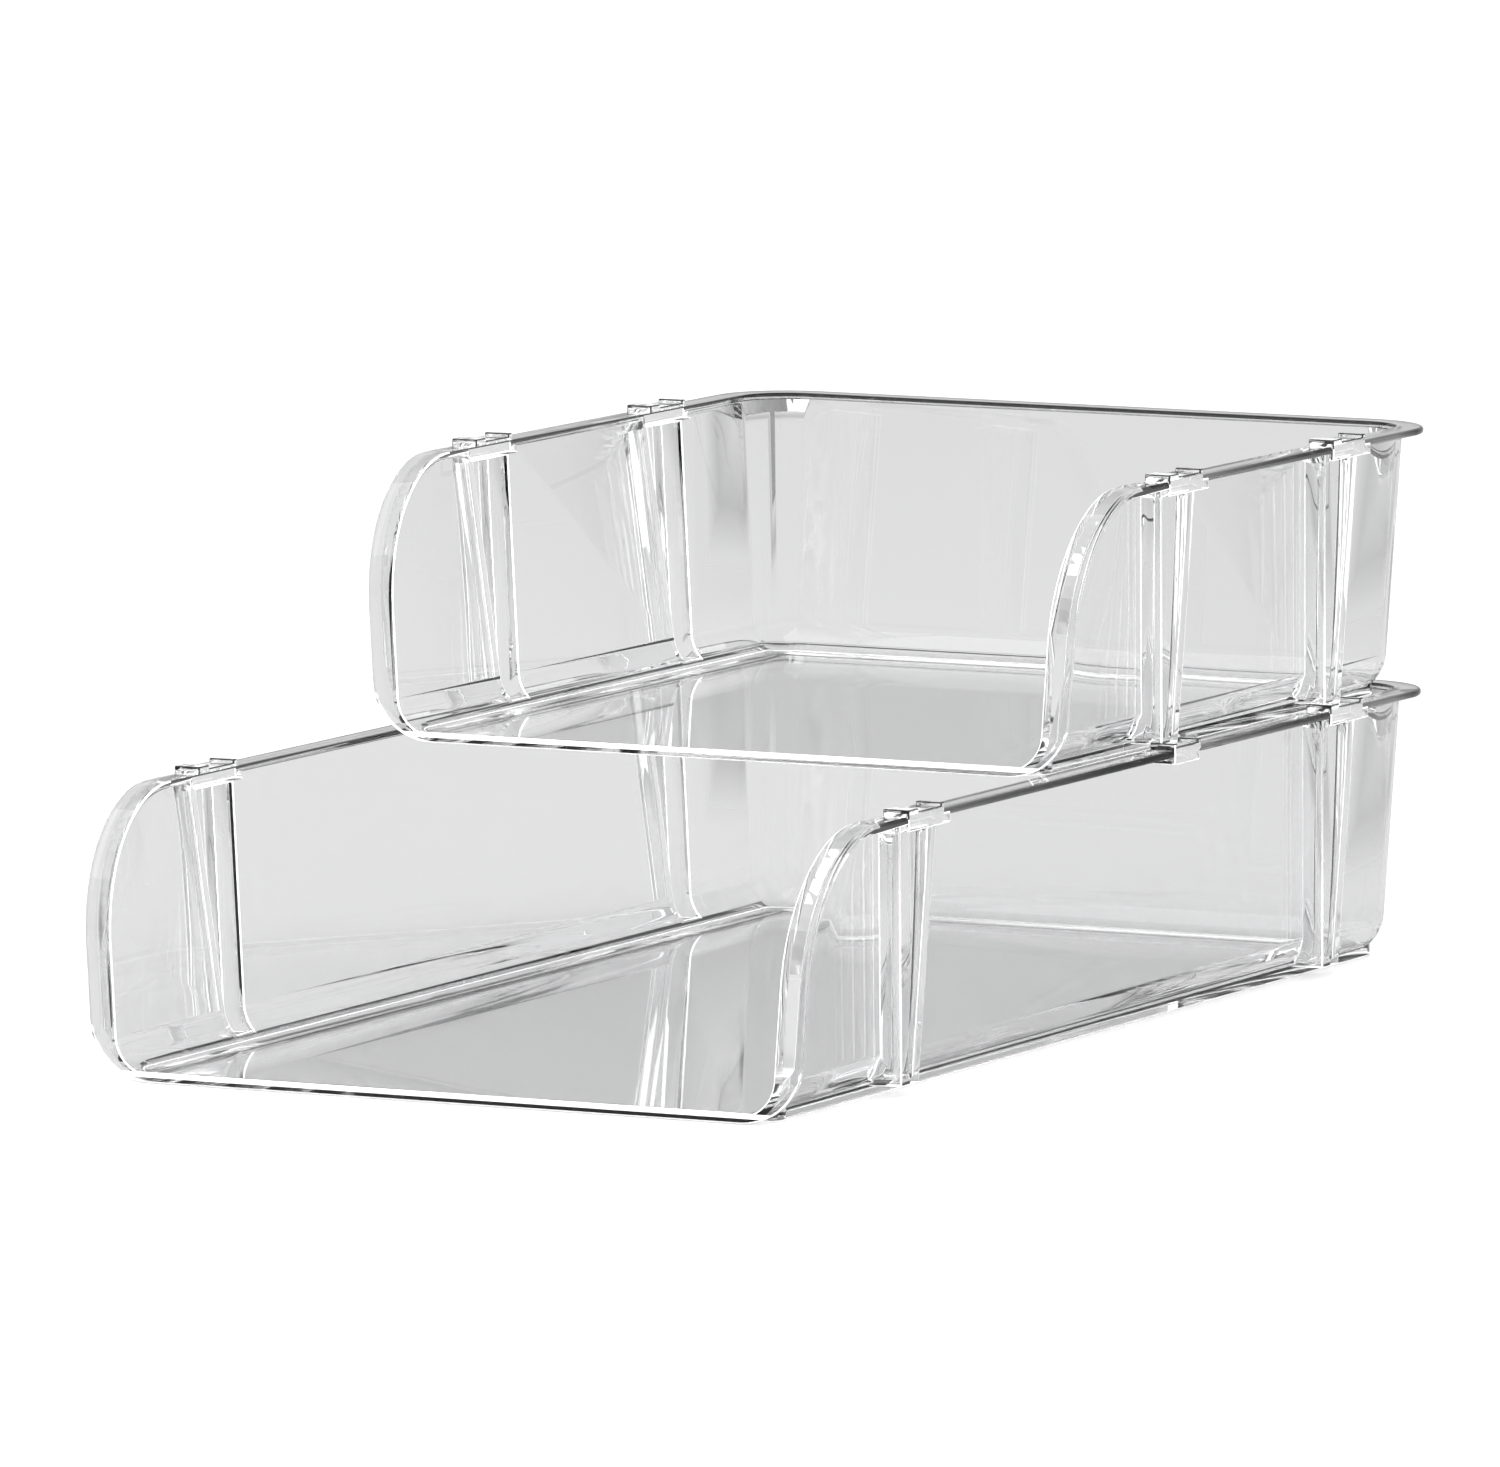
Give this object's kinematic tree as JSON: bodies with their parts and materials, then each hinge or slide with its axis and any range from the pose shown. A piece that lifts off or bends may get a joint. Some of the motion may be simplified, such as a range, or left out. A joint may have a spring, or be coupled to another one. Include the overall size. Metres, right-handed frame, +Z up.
{
  "type": "stacking letter tray",
  "caption": "Stacking open-front letter trays in clear plastic: a deep lower tray and a shorter upper tray that lifts off, each with flared walls, a rim flange and tapered column feet.",
  "frame": {"origin": "centre of the stack's plan box, on the surface that the lower tray stands on", "axes": "+X to the right, +Y towards the back wall, +Z up; the open front faces -Y"},
  "size_m": [0.2526, 0.484, 0.176],
  "materials": {
    "clear_plastic": "polished, water-clear injection moulding"
  },
  "bodies": {
    "lower_tray": {"lower_tray": "clear_plastic"},
    "upper_tray": {"upper_tray": "clear_plastic"}
  },
  "joints": [
    {"name": "upper_tray_lift", "type": "slide", "parent": "lower_tray", "child": "upper_tray", "axis": [0, 0, 1], "range_m": [0, 0.12]}
  ]
}
